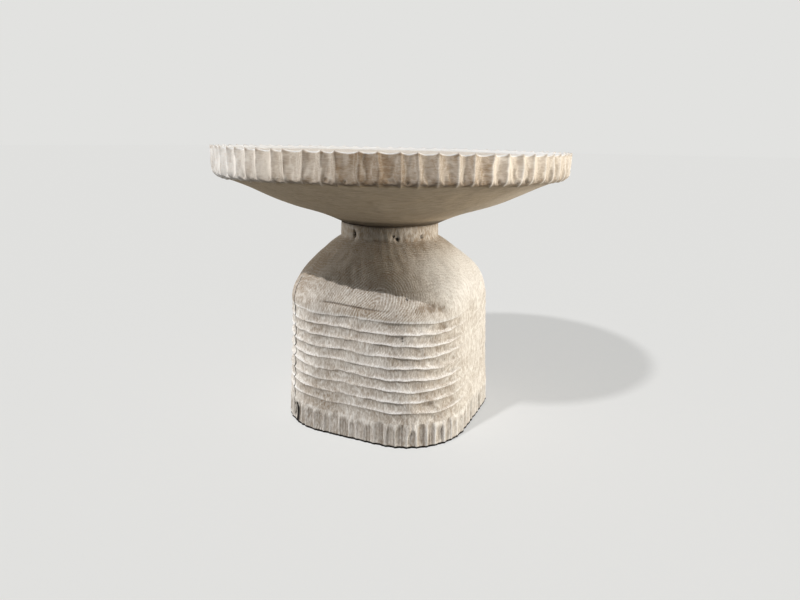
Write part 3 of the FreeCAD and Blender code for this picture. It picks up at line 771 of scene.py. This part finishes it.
def foot_band(ped, angle, share, last_line, last_cut):
    """Rings of the foot band from the last ridge to the floor, and their fields.

    The flutes are upright scoops with rounded tops, and their depth falls with the square of the distance
    from their middle. They are deepest round the corner nearest to the photographer, where highlights are
    painted on the ridges and shade in the flutes. The right-hand face is painted paler, as light from the
    right, and the foot is darker on the left. The edge on the floor is turned in, and shade is painted black
    along it.
    """
    count = ped.foot_flute_count
    across = share % 1.0
    flute = share.astype(int) % count
    following = (flute + 1) % count
    to_ridge = np.abs(2.0 * across - 1.0)
    dice = np.random.default_rng(PEDESTAL_SEED + 6)
    depth = ped.foot_flute_depth * dice.uniform(0.6, 1.3, count)
    corner_way = np.cos(2.0 * math.pi * (np.arange(count) + 0.5) / count - math.radians(-38.0))
    depth = depth * (1.0 + 0.5 * smooth_step(0.85, 1.0, corner_way))
    tall = dice.normal(0.0, 3.0 * MM, count)
    lean = dice.normal(0.0, 1.3 * MM, count)
    bow = dice.normal(0.0, 0.9 * MM, count)
    down = np.concatenate([np.linspace(0.05, 0.90, 18), [0.925, 0.965, 1.0]])[:, None]
    band = last_line * (1.0 - down)
    level = band / ped.foot_height
    lean = lean[flute] * (1 - across) + lean[following] * across
    bow = bow[flute] * (1 - across) + bow[following] * across
    sway = lean * (level - 0.5) + bow * np.sin(math.pi * level)
    band_angle = angle + sway * (1.0 - level) / ped.foot_half
    arch = ped.foot_flute + tall[flute] - 7.0 * MM * to_ridge ** 2
    cut = depth[flute] * (1.0 - to_ridge ** 2) * smooth_step(-2.0 * MM, 12.0 * MM, arch - band)
    cut = cut * (0.45 + 0.55 * smooth_step(0.0, 10.0 * MM, band))
    cut += 0.35 * MM * waves(band_angle, band, PEDESTAL_SEED + 7, 230, 200.0, 16)
    cut += last_cut * bell(band - last_line, 7.0 * MM)
    cut += np.interp(down, [0.93, 0.965, 1.0], [0.0, 0.2 * MM, 1.6 * MM])
    crack, dark_crack = foot_crack(angle, band)
    points = pedestal_ring(ped, band_angle, band, cut + FOOT_CRACK_DEPTH * crack)

    bearing = bearing_of(angle)
    right = between(-58.0, -30.0, 40.0, 60.0, bearing)
    corner = bell(bearing + 40.0, 16.0)
    near_ridge = bell(1.0 - to_ridge, 0.2)
    in_flute = smooth_step(0.0, 8.0 * MM, arch + 4.0 * MM - band)
    strokes = np.clip(waves(band_angle, band, PEDESTAL_SEED + 11, 260, 30.0, 16), 0.0, 2.0)
    # Shade is painted in the flutes and highlights on the ridges, most round the corner nearest to the
    # photographer.
    hollow_and_shade = (0.06 + (0.22 + 0.5 * corner) * (1.0 - near_ridge) + 0.30 * strokes) * in_flute
    grime_and_shade = (0.02 + (0.13 + 0.10 * corner) * strokes) * in_flute
    grime_and_shade += 0.05 * (1.0 - smooth_step(-112.0, -98.0, bearing))
    # The right-hand face is painted paler, as light from the right.
    return points, {
        "tip_and_highlight": (0.25 + 0.55 * corner) * near_ridge * in_flute + 0.22 * right,
        "hollow_and_shade": np.clip(hollow_and_shade, 0.0, 1.0),
        "under": 0.0 * band,
        "bare_and_shading": -0.02 - 0.12 * right + 0.0 * band,
        # Shade is painted black along the floor edge, over the lowest rows.
        "grime_and_shade": np.maximum(np.where(down > 0.92, 1.0, grime_and_shade), dark_crack),
    }


def pedestal_mesh(ped):
    """The pedestal's closed mesh. Below the last ridge, each upper column parts into two foot columns."""
    foot_angle, share = pedestal_columns(ped)
    angle = foot_angle[None, ::2]
    tops, top_values = neck_and_shoulder(ped, angle)
    body, body_values, last_line, last_cut = ridged_body(ped, angle)
    foot, foot_values = foot_band(
        ped, foot_angle, share, at_foot_columns(last_line), at_foot_columns(last_cut))
    upper = np.concatenate([tops, body])
    number = np.arange(upper[..., 0].size).reshape(upper.shape[:2])
    foot_number = number.size + np.arange(foot[..., 0].size).reshape(foot.shape[:2])
    top_point = number.size + foot_number.size
    here, beside = number[-1], np.roll(number[-1], -1)
    under, middle = foot_number[0, ::2], foot_number[0, 1::2]
    triangles = np.concatenate([
        np.stack([here, under, middle], axis=-1),
        np.stack([here, middle, beside], axis=-1),
        np.stack([beside, middle, np.roll(under, -1)], axis=-1),
        fan(top_point, number[0]),
        under_fan(top_point + 1, foot_number[-1]),
    ])
    quads = np.concatenate([grid_quads(number), grid_quads(foot_number)])
    points = np.concatenate([
        upper.reshape(-1, 3), foot.reshape(-1, 3), [upper[0].mean(axis=0), foot[-1].mean(axis=0)]])
    fields = {name: np.concatenate([
        top_values[name].ravel(), body_values[name].ravel(), foot_values[name].ravel(), [0.0, 0.0]])
        for name in FIELDS}
    return finished_mesh("pedestal_carved", points, quads, triangles, fields)


# Materials
#
# Inputs are named or, where the nodes have no names of their own for them, numbered. A Map Range reads its
# input 0 between 1 and 2 and gives 3 to 4, or 0 to 1 where these are left out. A Mix of colours goes from
# its input 6 to 7 with its input 0.

def add(tree, kind, links=None, **settings):
    """Adds one shader node with its settings, gives its inputs values or links, and returns its outputs."""
    item = tree.nodes.new("ShaderNode" + kind)
    for key, value in settings.items():
        setattr(item, key, value)
    for key, value in (links or {}).items():
        if isinstance(value, bpy.types.NodeSocket):
            tree.links.new(value, item.inputs[key])
        else:
            item.inputs[key].default_value = value
    return item.outputs


def weighted_sum(tree, total, parts):
    """Socket of a first value plus each part times its weight."""
    for part, weight in parts:
        total = add(tree, "Math", {0: part, 1: weight, 2: total}, operation="MULTIPLY_ADD")[0]
    return total


def growth_lines(tree, coords, centre, turn, ring_mm):
    """Mask of the growth rings round an axis through the centre: thin pale lines `ring_mm` apart.

    The rings waver by up to 10 mm over some 60 mm, so the carved surface cuts them in loops and curls.
    """
    at = add(tree, "Mapping", {"Vector": coords, "Location": centre, "Rotation": turn},
             vector_type="TEXTURE")[0]
    sway = add(tree, "TexNoise", {"Vector": at, "Scale": 11.0, "Detail": 3.0, "Roughness": 0.5})["Color"]
    off = add(tree, "VectorMath", {0: sway, 1: (0.5, 0.5, 0.5)}, operation="SUBTRACT")[0]
    pushed = add(tree, "VectorMath", {0: off, "Scale": 0.030}, operation="SCALE")[0]
    ring_at = add(tree, "VectorMath", {0: at, 1: pushed}, operation="ADD")[0]
    rings = add(tree, "TexWave", {
        "Vector": ring_at, "Scale": 2.0 * math.pi / (20.0 * ring_mm * MM), "Distortion": 2.2, "Detail": 2.0,
        "Detail Scale": 0.8}, wave_type="RINGS", rings_direction="Z")["Fac"]
    return add(tree, "MapRange", {0: rings, 1: 0.45, 2: 0.95})[0]


def rings_with_knot(tree, coords, trunk_lines, ring_mm, centre, turn, reach, lowest):
    """Growth lines that turn to tight circles round a knot, above a height, and fade into the trunk's."""
    away = add(tree, "VectorMath", {0: coords, 1: centre}, operation="DISTANCE")["Value"]
    up = add(tree, "SeparateXYZ", {0: coords})[2]
    near = add(tree, "MapRange", {0: away, 1: 0.45 * reach, 2: reach, 3: 1.0, 4: 0.0})[0]
    above = add(tree, "MapRange", {0: up, 1: lowest - 0.012, 2: lowest + 0.008, 3: 0.35, 4: 1.0})[0]
    near = add(tree, "Math", {0: near, 1: above}, operation="MULTIPLY")[0]
    circles = growth_lines(tree, coords, centre, turn, ring_mm)
    circles = add(tree, "Math", {0: circles, 1: near}, operation="MULTIPLY")[0]
    kept = add(tree, "MapRange", {0: near, 1: 0.0, 2: 0.8, 3: 0.50, 4: 0.0})[0]
    return weighted_sum(tree, circles, [(trunk_lines, kept)])


def drying_check(tree, coords, bearing, low, high, turn, wide, reach=0.190, climb_from=0.050):
    """Mask of a crack up the body at a bearing in degrees, between two heights, as wide as given in mm.

    It turns by `turn` degrees over its top 50 mm and wavers a little all the way up.
    """
    x, y, z = add(tree, "SeparateXYZ", {0: coords})
    wobble = add(tree, "TexNoise", {"Vector": coords, "Scale": 55.0, "Detail": 3.0})["Fac"]
    climb = add(tree, "MapRange", {0: z, 1: high - climb_from, 2: high})[0]
    round_way = add(tree, "Math", {0: y, 1: x}, operation="ARCTAN2")[0]
    away = weighted_sum(tree, -0.023 - math.radians(bearing), (
        (wobble, 0.046), (climb, -math.radians(turn)), (round_way, 1.0)))
    away = add(tree, "Math", {0: away}, operation="ABSOLUTE")[0]
    line = add(tree, "MapRange", {
        0: away, 1: 0.3 * wide * MM / reach, 2: 0.7 * wide * MM / reach, 3: 0.95, 4: 0.0})[0]
    for start, end in ((low, low + 0.010), (high + 0.012, high)):
        fade = add(tree, "MapRange", {0: z, 1: start, 2: end})[0]
        line = add(tree, "Math", {0: line, 1: fade}, operation="MULTIPLY")[0]
    return line


def dark_places(tree, coords, dark, marks, checks):
    """Mask of everything nearly black: the given one, ragged knots and pits, and the drying checks."""
    ragged = add(tree, "TexNoise", {"Vector": coords, "Scale": 190.0, "Detail": 2.0})["Color"]
    ragged = add(tree, "VectorMath", {0: ragged, 1: (0.5, 0.5, 0.5)}, operation="SUBTRACT")[0]
    mark_at = add(tree, "VectorMath", {0: ragged, 1: (0.009, 0.009, 0.009), 2: coords},
                  operation="MULTIPLY_ADD")[0]
    masks = [drying_check(tree, coords, *check) for check in checks]
    for centre, size, full in marks:
        at = add(tree, "Mapping", {
            "Vector": mark_at, "Location": tuple(centre), "Scale": [side * MM for side in size]},
            vector_type="TEXTURE")[0]
        ball = add(tree, "TexGradient", {"Vector": at}, gradient_type="SPHERICAL")["Fac"]
        masks.append(add(tree, "MapRange", {0: ball, 1: 0.10, 2: 0.65, 3: 0.0, 4: full})[0])
    for mask in masks:
        dark = add(tree, "Math", {0: dark, 1: mask}, operation="MAXIMUM")[0]
    return dark


def carved_wood(name, woods, wash, wood, trunk, trunk_turn, grain_turn, ring_mm, ring_share, cover_base,
                streak_share, patch_share, stretch=7.0, knot=None, marks=(), checks=()):
    """Bleached and white-washed hardwood, gouged and rasped by hand.

    Growth rings round the trunk's axis are cut by the carved surface: lines where it runs along them, loops
    where it only touches them. Round a knot they run in tight circles. The wash stays pale in the open grain,
    hollows keep brown, ridge tips are rubbed nearly white, and the surface is matt. The same fields also
    paint highlights paler, shade browner and the deepest shade nearly black.
    """
    material = bpy.data.materials.new(name)
    material.use_nodes = True
    tree = material.node_tree
    shader = tree.nodes["Principled BSDF"]
    coords = add(tree, "TexCoord")["Object"]
    fields = {field: add(tree, "Attribute", attribute_name=field)["Fac"] for field in FIELDS}
    ring_lines = growth_lines(tree, coords, trunk, trunk_turn, ring_mm)
    if knot:
        ring_lines = rings_with_knot(tree, coords, ring_lines, ring_mm, *knot)
    broken = add(tree, "TexNoise", {"Vector": coords, "Scale": 70.0, "Detail": 3.0})["Fac"]
    broken = add(tree, "MapRange", {0: broken, 1: 0.36, 2: 0.56, 3: 0.25, 4: 1.0})[0]
    ring_lines = add(tree, "Math", {0: ring_lines, 1: broken}, operation="MULTIPLY")[0]

    # Fibres are about 1.5 mm apart and `stretch` times as long, drawn that coarse so that they show.
    # Streaks are twice as wide. Patches are about 40 mm across, and grit is 1 mm.
    fibre_at = add(tree, "Mapping", {
        "Vector": coords, "Rotation": grain_turn, "Scale": (1.0, 1.0, stretch)}, vector_type="TEXTURE")[0]
    fibres, streaks, patches, grit = (
        add(tree, "TexNoise", {
            "Vector": at, "Scale": scale, "Detail": detail, "Roughness": rough, "Distortion": bend})["Fac"]
        for at, scale, detail, rough, bend in (
            (fibre_at, 560.0, 3.0, 0.65, 0.6),
            (fibre_at, 290.0, 3.0, 0.60, 1.0),
            (coords, 22.0, 6.0, 0.68, 0.0),
            (coords, 900.0, 2.0, 0.70, 0.0)))

    # How much wash covers the wood: each pattern between two of its values, times its weight.
    cover = weighted_sum(tree, cover_base, (
        (ring_lines, ring_share), (fields["bare_and_shading"], -0.55), (fields["hollow_and_shade"], -0.22)))
    cover = weighted_sum(tree, cover, [
        (add(tree, "MapRange", {0: pattern, 1: low, 2: high})[0], weight)
        for pattern, low, high, weight in (
            (fibres, 0.41, 0.60, 0.38 * streak_share),
            (patches, 0.36, 0.64, patch_share),
            (streaks, 0.38, 0.62, 0.26 * streak_share))])

    # Colours from the ground up, each with the share that covers what is under it.
    # The shade under the top is painted by mixing in a browner colour.
    wash, under_top_shade = tuple(wash), tuple(woods.painted_shade_wood)
    washed_under = add(tree, "Mix", {0: 0.72, 6: wash, 7: under_top_shade}, data_type="RGBA")[2]
    washed = add(tree, "Mix", {0: fields["under"], 6: wash, 7: washed_under}, data_type="RGBA")[2]
    layers = [
        (fields["under"], under_top_shade),
        (add(tree, "MapRange", {0: cover, 1: 0.0, 2: 0.95})[0], washed)]
    # Painted shade under the top also gets streaks of the hollows' colour.
    for field, pattern, low, high, least, most, layer in (
            ("hollow_and_shade", patches, 0.30, 0.70, 0.20, 0.62, woods.hollow_and_shade),
            ("under", streaks, 0.42, 0.64, 0.0, 0.42, woods.hollow_and_shade),
            ("tip_and_highlight", fibres, 0.30, 0.60, 0.35, 0.90, woods.tip_and_highlight)):
        part = add(tree, "MapRange", {0: pattern, 1: low, 2: high, 3: least, 4: most})[0]
        share = add(tree, "Math", {0: fields[field], 1: part}, operation="MULTIPLY")[0]
        layers.append((share, tuple(layer)))
    # Nearly black: cracks, knots and pits, and the shade painted at the seam, along the floor and under the
    # rim.
    dark = dark_places(tree, coords, fields["grime_and_shade"], marks, checks)
    layers.append((dark, tuple(woods.crack)))
    tone = tuple(wood)
    for share, layer in layers:
        tone = add(tree, "Mix", {0: share, 6: tone, 7: layer}, data_type="RGBA")[2]

    relief = weighted_sum(tree, 0.0, (
        (ring_lines, 0.4), (fibres, 0.6), (streaks, 0.8), (grit, 0.35), (dark, -2.0)))
    bump = add(tree, "Bump", {"Height": relief, "Strength": 0.6, "Distance": 0.7 * MM})[0]
    rough = add(tree, "MapRange", {0: cover, 1: 0.2, 2: 1.0, 3: 0.72, 4: 0.90})[0]
    tree.links.new(tone, shader.inputs["Base Color"])
    tree.links.new(rough, shader.inputs["Roughness"])
    tree.links.new(bump, shader.inputs["Normal"])
    shader.inputs["Specular IOR Level"].default_value = 0.2
    return material


def sawn_wood(woods):
    """Bare hardwood, sawn and planed: straight grain lines along the length and a dull face."""
    material = bpy.data.materials.new("tenon_bare_hardwood_planed")
    material.use_nodes = True
    tree = material.node_tree
    shader = tree.nodes["Principled BSDF"]
    coords = add(tree, "TexCoord")["Object"]
    grain_at = add(tree, "Mapping", {"Vector": coords, "Scale": (1.0, 1.0, 0.05)})[0]
    grain = add(tree, "TexNoise", {
        "Vector": grain_at, "Scale": 420.0, "Detail": 4.0, "Roughness": 0.6})["Fac"]
    bands = add(tree, "TexWave", {"Vector": grain_at, "Scale": 60.0, "Distortion": 3.0, "Detail": 2.0},
                bands_direction="X")["Fac"]
    share = weighted_sum(tree, 0.0, ((grain, 0.7), (bands, 0.4)))
    share = add(tree, "MapRange", {0: share, 1: 0.25, 2: 0.85})[0]
    dark = tuple(0.5 * c for c in woods.tenon[:3]) + (1.0,)
    tone = add(tree, "Mix", {0: share, 6: dark, 7: tuple(woods.tenon)}, data_type="RGBA")[2]
    bump = add(tree, "Bump", {"Height": grain, "Strength": 0.4, "Distance": 0.2 * MM})[0]
    tree.links.new(tone, shader.inputs["Base Color"])
    tree.links.new(bump, shader.inputs["Normal"])
    shader.inputs["Roughness"].default_value = 0.65
    return material


# A knot in the pedestal: centre, turn of its axis, reach of its rings and the lowest height where it shows.
PEDESTAL_KNOT = ((0.038, -0.158, 0.232), (math.radians(10.0), math.radians(32.0), 0.0), 0.12, 0.212)

# Where the drying checks run: bearing, lowest and highest point, turn near the top, width in mm.
CHECKS = ((-129.2, 0.004, 0.258, -3.0, 3.2),)

# A dark spot on the rim: place, size in millimetres and how dark it gets.
RIM_MARKS = (((-0.1877, -0.2365, 0.4638), (2.4, 2.4, 4.2), 0.85),)


class DRUMTABLE_OT_tabletop(Operator):
    """Carve the dished top with its fluted rim and coned underside"""

    bl_idname = "drumtable.tabletop"
    bl_label = "Tabletop"
    bl_options = {"REGISTER", "UNDO"}

    def execute(self, context):
        woods = context.scene.drumtable_woods
        material = carved_wood(
            "top_bleached_hardwood_gouged", woods, woods.top_wash, woods.top_wood,
            trunk=(-0.190, 0.415, 0.445), trunk_turn=(0.0, math.pi / 2.0, CAMERA_TURN),
            grain_turn=(0.0, math.pi / 2.0, CAMERA_TURN), ring_mm=3.6, ring_share=0.22, cover_base=0.52,
            streak_share=0.55, patch_share=0.30, marks=RIM_MARKS)
        piece = place("tabletop_carved", tabletop_mesh(context.scene.drumtable_top), material)
        cut_mortises(piece, up=True)
        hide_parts("tabletop")
        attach(piece, "root")
        return {"FINISHED"}


class DRUMTABLE_OT_pedestal(Operator):
    """Carve the pedestal: neck, domed shoulder, ridged body and fluted foot"""

    bl_idname = "drumtable.pedestal"
    bl_label = "Pedestal"
    bl_options = {"REGISTER", "UNDO"}

    def execute(self, context):
        ped = context.scene.drumtable_pedestal
        woods = context.scene.drumtable_woods
        marks = [(surface_mark(ped, bearing, height, 0.6 * deep), (1.6 * wide, 1.6 * wide, 1.4 * tall), 0.97)
                 for bearing, height, wide, tall, deep in PITS]
        marks += [(surface_mark(ped, bearing, height), (size, size, 0.8 * size), 0.7)
                  for bearing, height, size in SPECKS]
        material = carved_wood(
            "pedestal_bleached_hardwood_gouged", woods, woods.wash, woods.wood,
            trunk=(-0.01, 0.02, 0.232), trunk_turn=(-0.16, 0.06, 0.0), grain_turn=(0.0, 0.04, 0.0),
            ring_mm=3.9, ring_share=0.50, cover_base=0.13, streak_share=1.0, patch_share=0.24, stretch=3.6,
            knot=PEDESTAL_KNOT, marks=marks, checks=CHECKS)
        piece = place("pedestal_carved", pedestal_mesh(ped), material)
        cut_mortises(piece, up=False)
        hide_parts("pedestal")
        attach(piece, "root")
        return {"FINISHED"}


class DRUMTABLE_OT_tenons(Operator):
    """Finish the loose tenons inside the joint as bare planed hardwood"""

    bl_idname = "drumtable.tenons"
    bl_label = "Tenons"
    bl_options = {"REGISTER", "UNDO"}

    def execute(self, context):
        material = sawn_wood(context.scene.drumtable_woods)
        for tenon in TENONS:
            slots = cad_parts[tenon].material_slots
            if not slots:
                raise RuntimeError("%s has no material slot" % tenon)
            for slot in slots:
                slot.material = material
        return {"FINISHED"}


class DRUMTABLE_OT_stage(Operator):
    """Set up the pale floor, the soft lights and the camera at the photographed angle"""

    bl_idname = "drumtable.stage"
    bl_label = "Stage"
    bl_options = {"REGISTER", "UNDO"}

    def execute(self, context):
        look = context.scene.drumtable_stage
        floor = add_floor()
        add_sky(context.scene, look)
        for name, bearing, elevation, power, width, tint in (
                ("key_light", -106.0, 49.5, look.key_strength, 0.7, "#FDFBFA"),
                ("right_light", 17.0, 4.0, look.right_strength, 26.0, "#FFF8EC"),
                ("left_light", -179.0, 10.0, look.left_strength, 24.0, "#FFFFFF")):
            light_only(add_sun(name, bearing, elevation, power, width, tint), floor, "EXCLUDE")
        floor_light = add_sun("floor_light", -112.0, 46.4, look.floor_strength, 3.4, "#FFFFFF")
        light_only(floor_light, floor, "INCLUDE")
        add_camera(context.scene, look)
        context.scene.view_settings.view_transform = "Standard"
        return {"FINISHED"}


def add_floor(half=30.0, paint=(0.30, 0.30, 0.297, 1.0), own_light=(1.0, 1.0, 0.98, 1.0), dim=0.13,
              seen=0.547):
    """A wide plain floor, lit enough by itself that shadows on it stay soft and light.

    Its own light is dim where it falls on the table, and stronger where the camera sees it.
    """
    corners = np.array([(-half, -half, 0.0), (half, -half, 0.0), (half, half, 0.0), (-half, half, 0.0)])
    material = bpy.data.materials.new("floor_pale_matt_paint")
    material.use_nodes = True
    tree = material.node_tree
    tree.nodes.remove(tree.nodes["Principled BSDF"])
    from_camera = add(tree, "LightPath")["Is Camera Ray"]
    matt = add(tree, "BsdfDiffuse", {"Color": paint})[0]
    power = add(tree, "MapRange", {0: from_camera, 3: dim, 4: seen})[0]
    glow = add(tree, "Emission", {"Color": own_light, "Strength": power})[0]
    both = add(tree, "AddShader", {0: matt, 1: glow})[0]
    tree.links.new(both, tree.nodes["Material Output"].inputs["Surface"])
    floor = place("floor", finished_mesh("floor", corners, np.array([[0, 1, 2, 3]])), material)
    return floor


def add_sky(scene, look, tint=(1.0, 0.97, 0.92, 1.0)):
    """Even light all round, with the floor's own tone where the camera looks past the floor."""
    world = bpy.data.worlds.new("studio_sky")
    scene.world = world
    world.use_nodes = True
    tree = world.node_tree
    from_camera = add(tree, "LightPath")["Is Camera Ray"]
    sky = tree.nodes["Background"]
    sky.inputs["Color"].default_value = tint
    sky.inputs["Strength"].default_value = look.sky_strength
    backdrop = add(tree, "Background", {"Color": tuple(look.floor), "Strength": 1.0})[0]
    both = add(tree, "MixShader", {0: from_camera, 1: sky.outputs[0], 2: backdrop})[0]
    tree.links.new(both, tree.nodes["World Output"].inputs["Surface"])


def add_sun(name, bearing, elevation, power, width, hex_colour):
    """A far light at a bearing and elevation in degrees, as wide as its angle in degrees."""
    lamp = bpy.data.lights.new(name, "SUN")
    lamp.energy = power
    lamp.angle = math.radians(width)
    lamp.color = linear(hex_colour)[:3]
    light = bpy.data.objects.new(name, lamp)
    turn = Matrix.Rotation(math.radians(bearing + 90.0), 4, "Z")
    light.matrix_world = turn @ Matrix.Rotation(math.radians(90.0 - elevation), 4, "X")
    bpy.context.scene.collection.objects.link(light)
    return light


def light_only(light, floor, state):
    """Lets a light reach the floor alone (INCLUDE), or everything but the floor, which is clear to it."""
    receivers = bpy.data.collections.new(light.name + "_receivers")
    receivers.objects.link(floor)
    receivers.collection_objects[0].light_linking.link_state = state
    light.light_linking.receiver_collection = receivers
    if state == "EXCLUDE":
        light.light_linking.blocker_collection = receivers


def add_camera(scene, look, pitch=0.26681, roll=0.014585, yaw=0.016894, frame_width=800.0):
    """Camera at the photographer's place: level distance, height over the crest, and small turns."""
    data = bpy.data.cameras.new("photo_camera")
    data.sensor_width = 36.0
    data.lens = look.focal_pixels / frame_width * data.sensor_width
    data.clip_end = 200.0
    camera = bpy.data.objects.new("photo_camera", data)
    stand = Matrix.Translation((0.0, -look.distance, TOP_HIGH.z + look.above_crest))
    aim = Matrix.Rotation(-yaw, 4, "Z") @ Matrix.Rotation(math.pi / 2.0 - pitch, 4, "X")
    aim = aim @ Matrix.Rotation(roll, 4, "Z")
    camera.matrix_world = Matrix.Rotation(CAMERA_TURN, 4, "Z") @ stand @ aim
    scene.collection.objects.link(camera)
    scene.camera = camera


class DRUMTABLE_PT_panel(Panel):
    """Lists the pieces of the drum table and its stage"""

    bl_idname = "DRUMTABLE_PT_panel"
    bl_label = "Drum table"
    bl_space_type = "VIEW_3D"
    bl_region_type = "UI"
    bl_category = "Drum table"

    def draw(self, context):
        for operator in OPERATORS:
            self.layout.operator(operator.bl_idname)
        for group in GROUPS:
            settings = getattr(context.scene, group)
            box = self.layout.box()
            for name in settings.__annotations__:
                box.prop(settings, name)


GROUPS = {
    "drumtable_top": TopSizes,
    "drumtable_pedestal": PedestalSizes,
    "drumtable_woods": WoodColours,
    "drumtable_stage": StageLook,
}
OPERATORS = (DRUMTABLE_OT_tabletop, DRUMTABLE_OT_pedestal, DRUMTABLE_OT_tenons, DRUMTABLE_OT_stage)


def register():
    for item in (*GROUPS.values(), *OPERATORS, DRUMTABLE_PT_panel):
        bpy.utils.register_class(item)
    for name, group in GROUPS.items():
        setattr(bpy.types.Scene, name, PointerProperty(type=group))


def unregister():
    for name in GROUPS:
        delattr(bpy.types.Scene, name)
    for item in (DRUMTABLE_PT_panel, *reversed(OPERATORS), *reversed(GROUPS.values())):
        bpy.utils.unregister_class(item)


def main():
    register()
    bpy.ops.drumtable.tabletop()
    bpy.ops.drumtable.pedestal()
    bpy.ops.drumtable.tenons()
    bpy.ops.drumtable.stage()


if __name__ == "__main__":
    main()
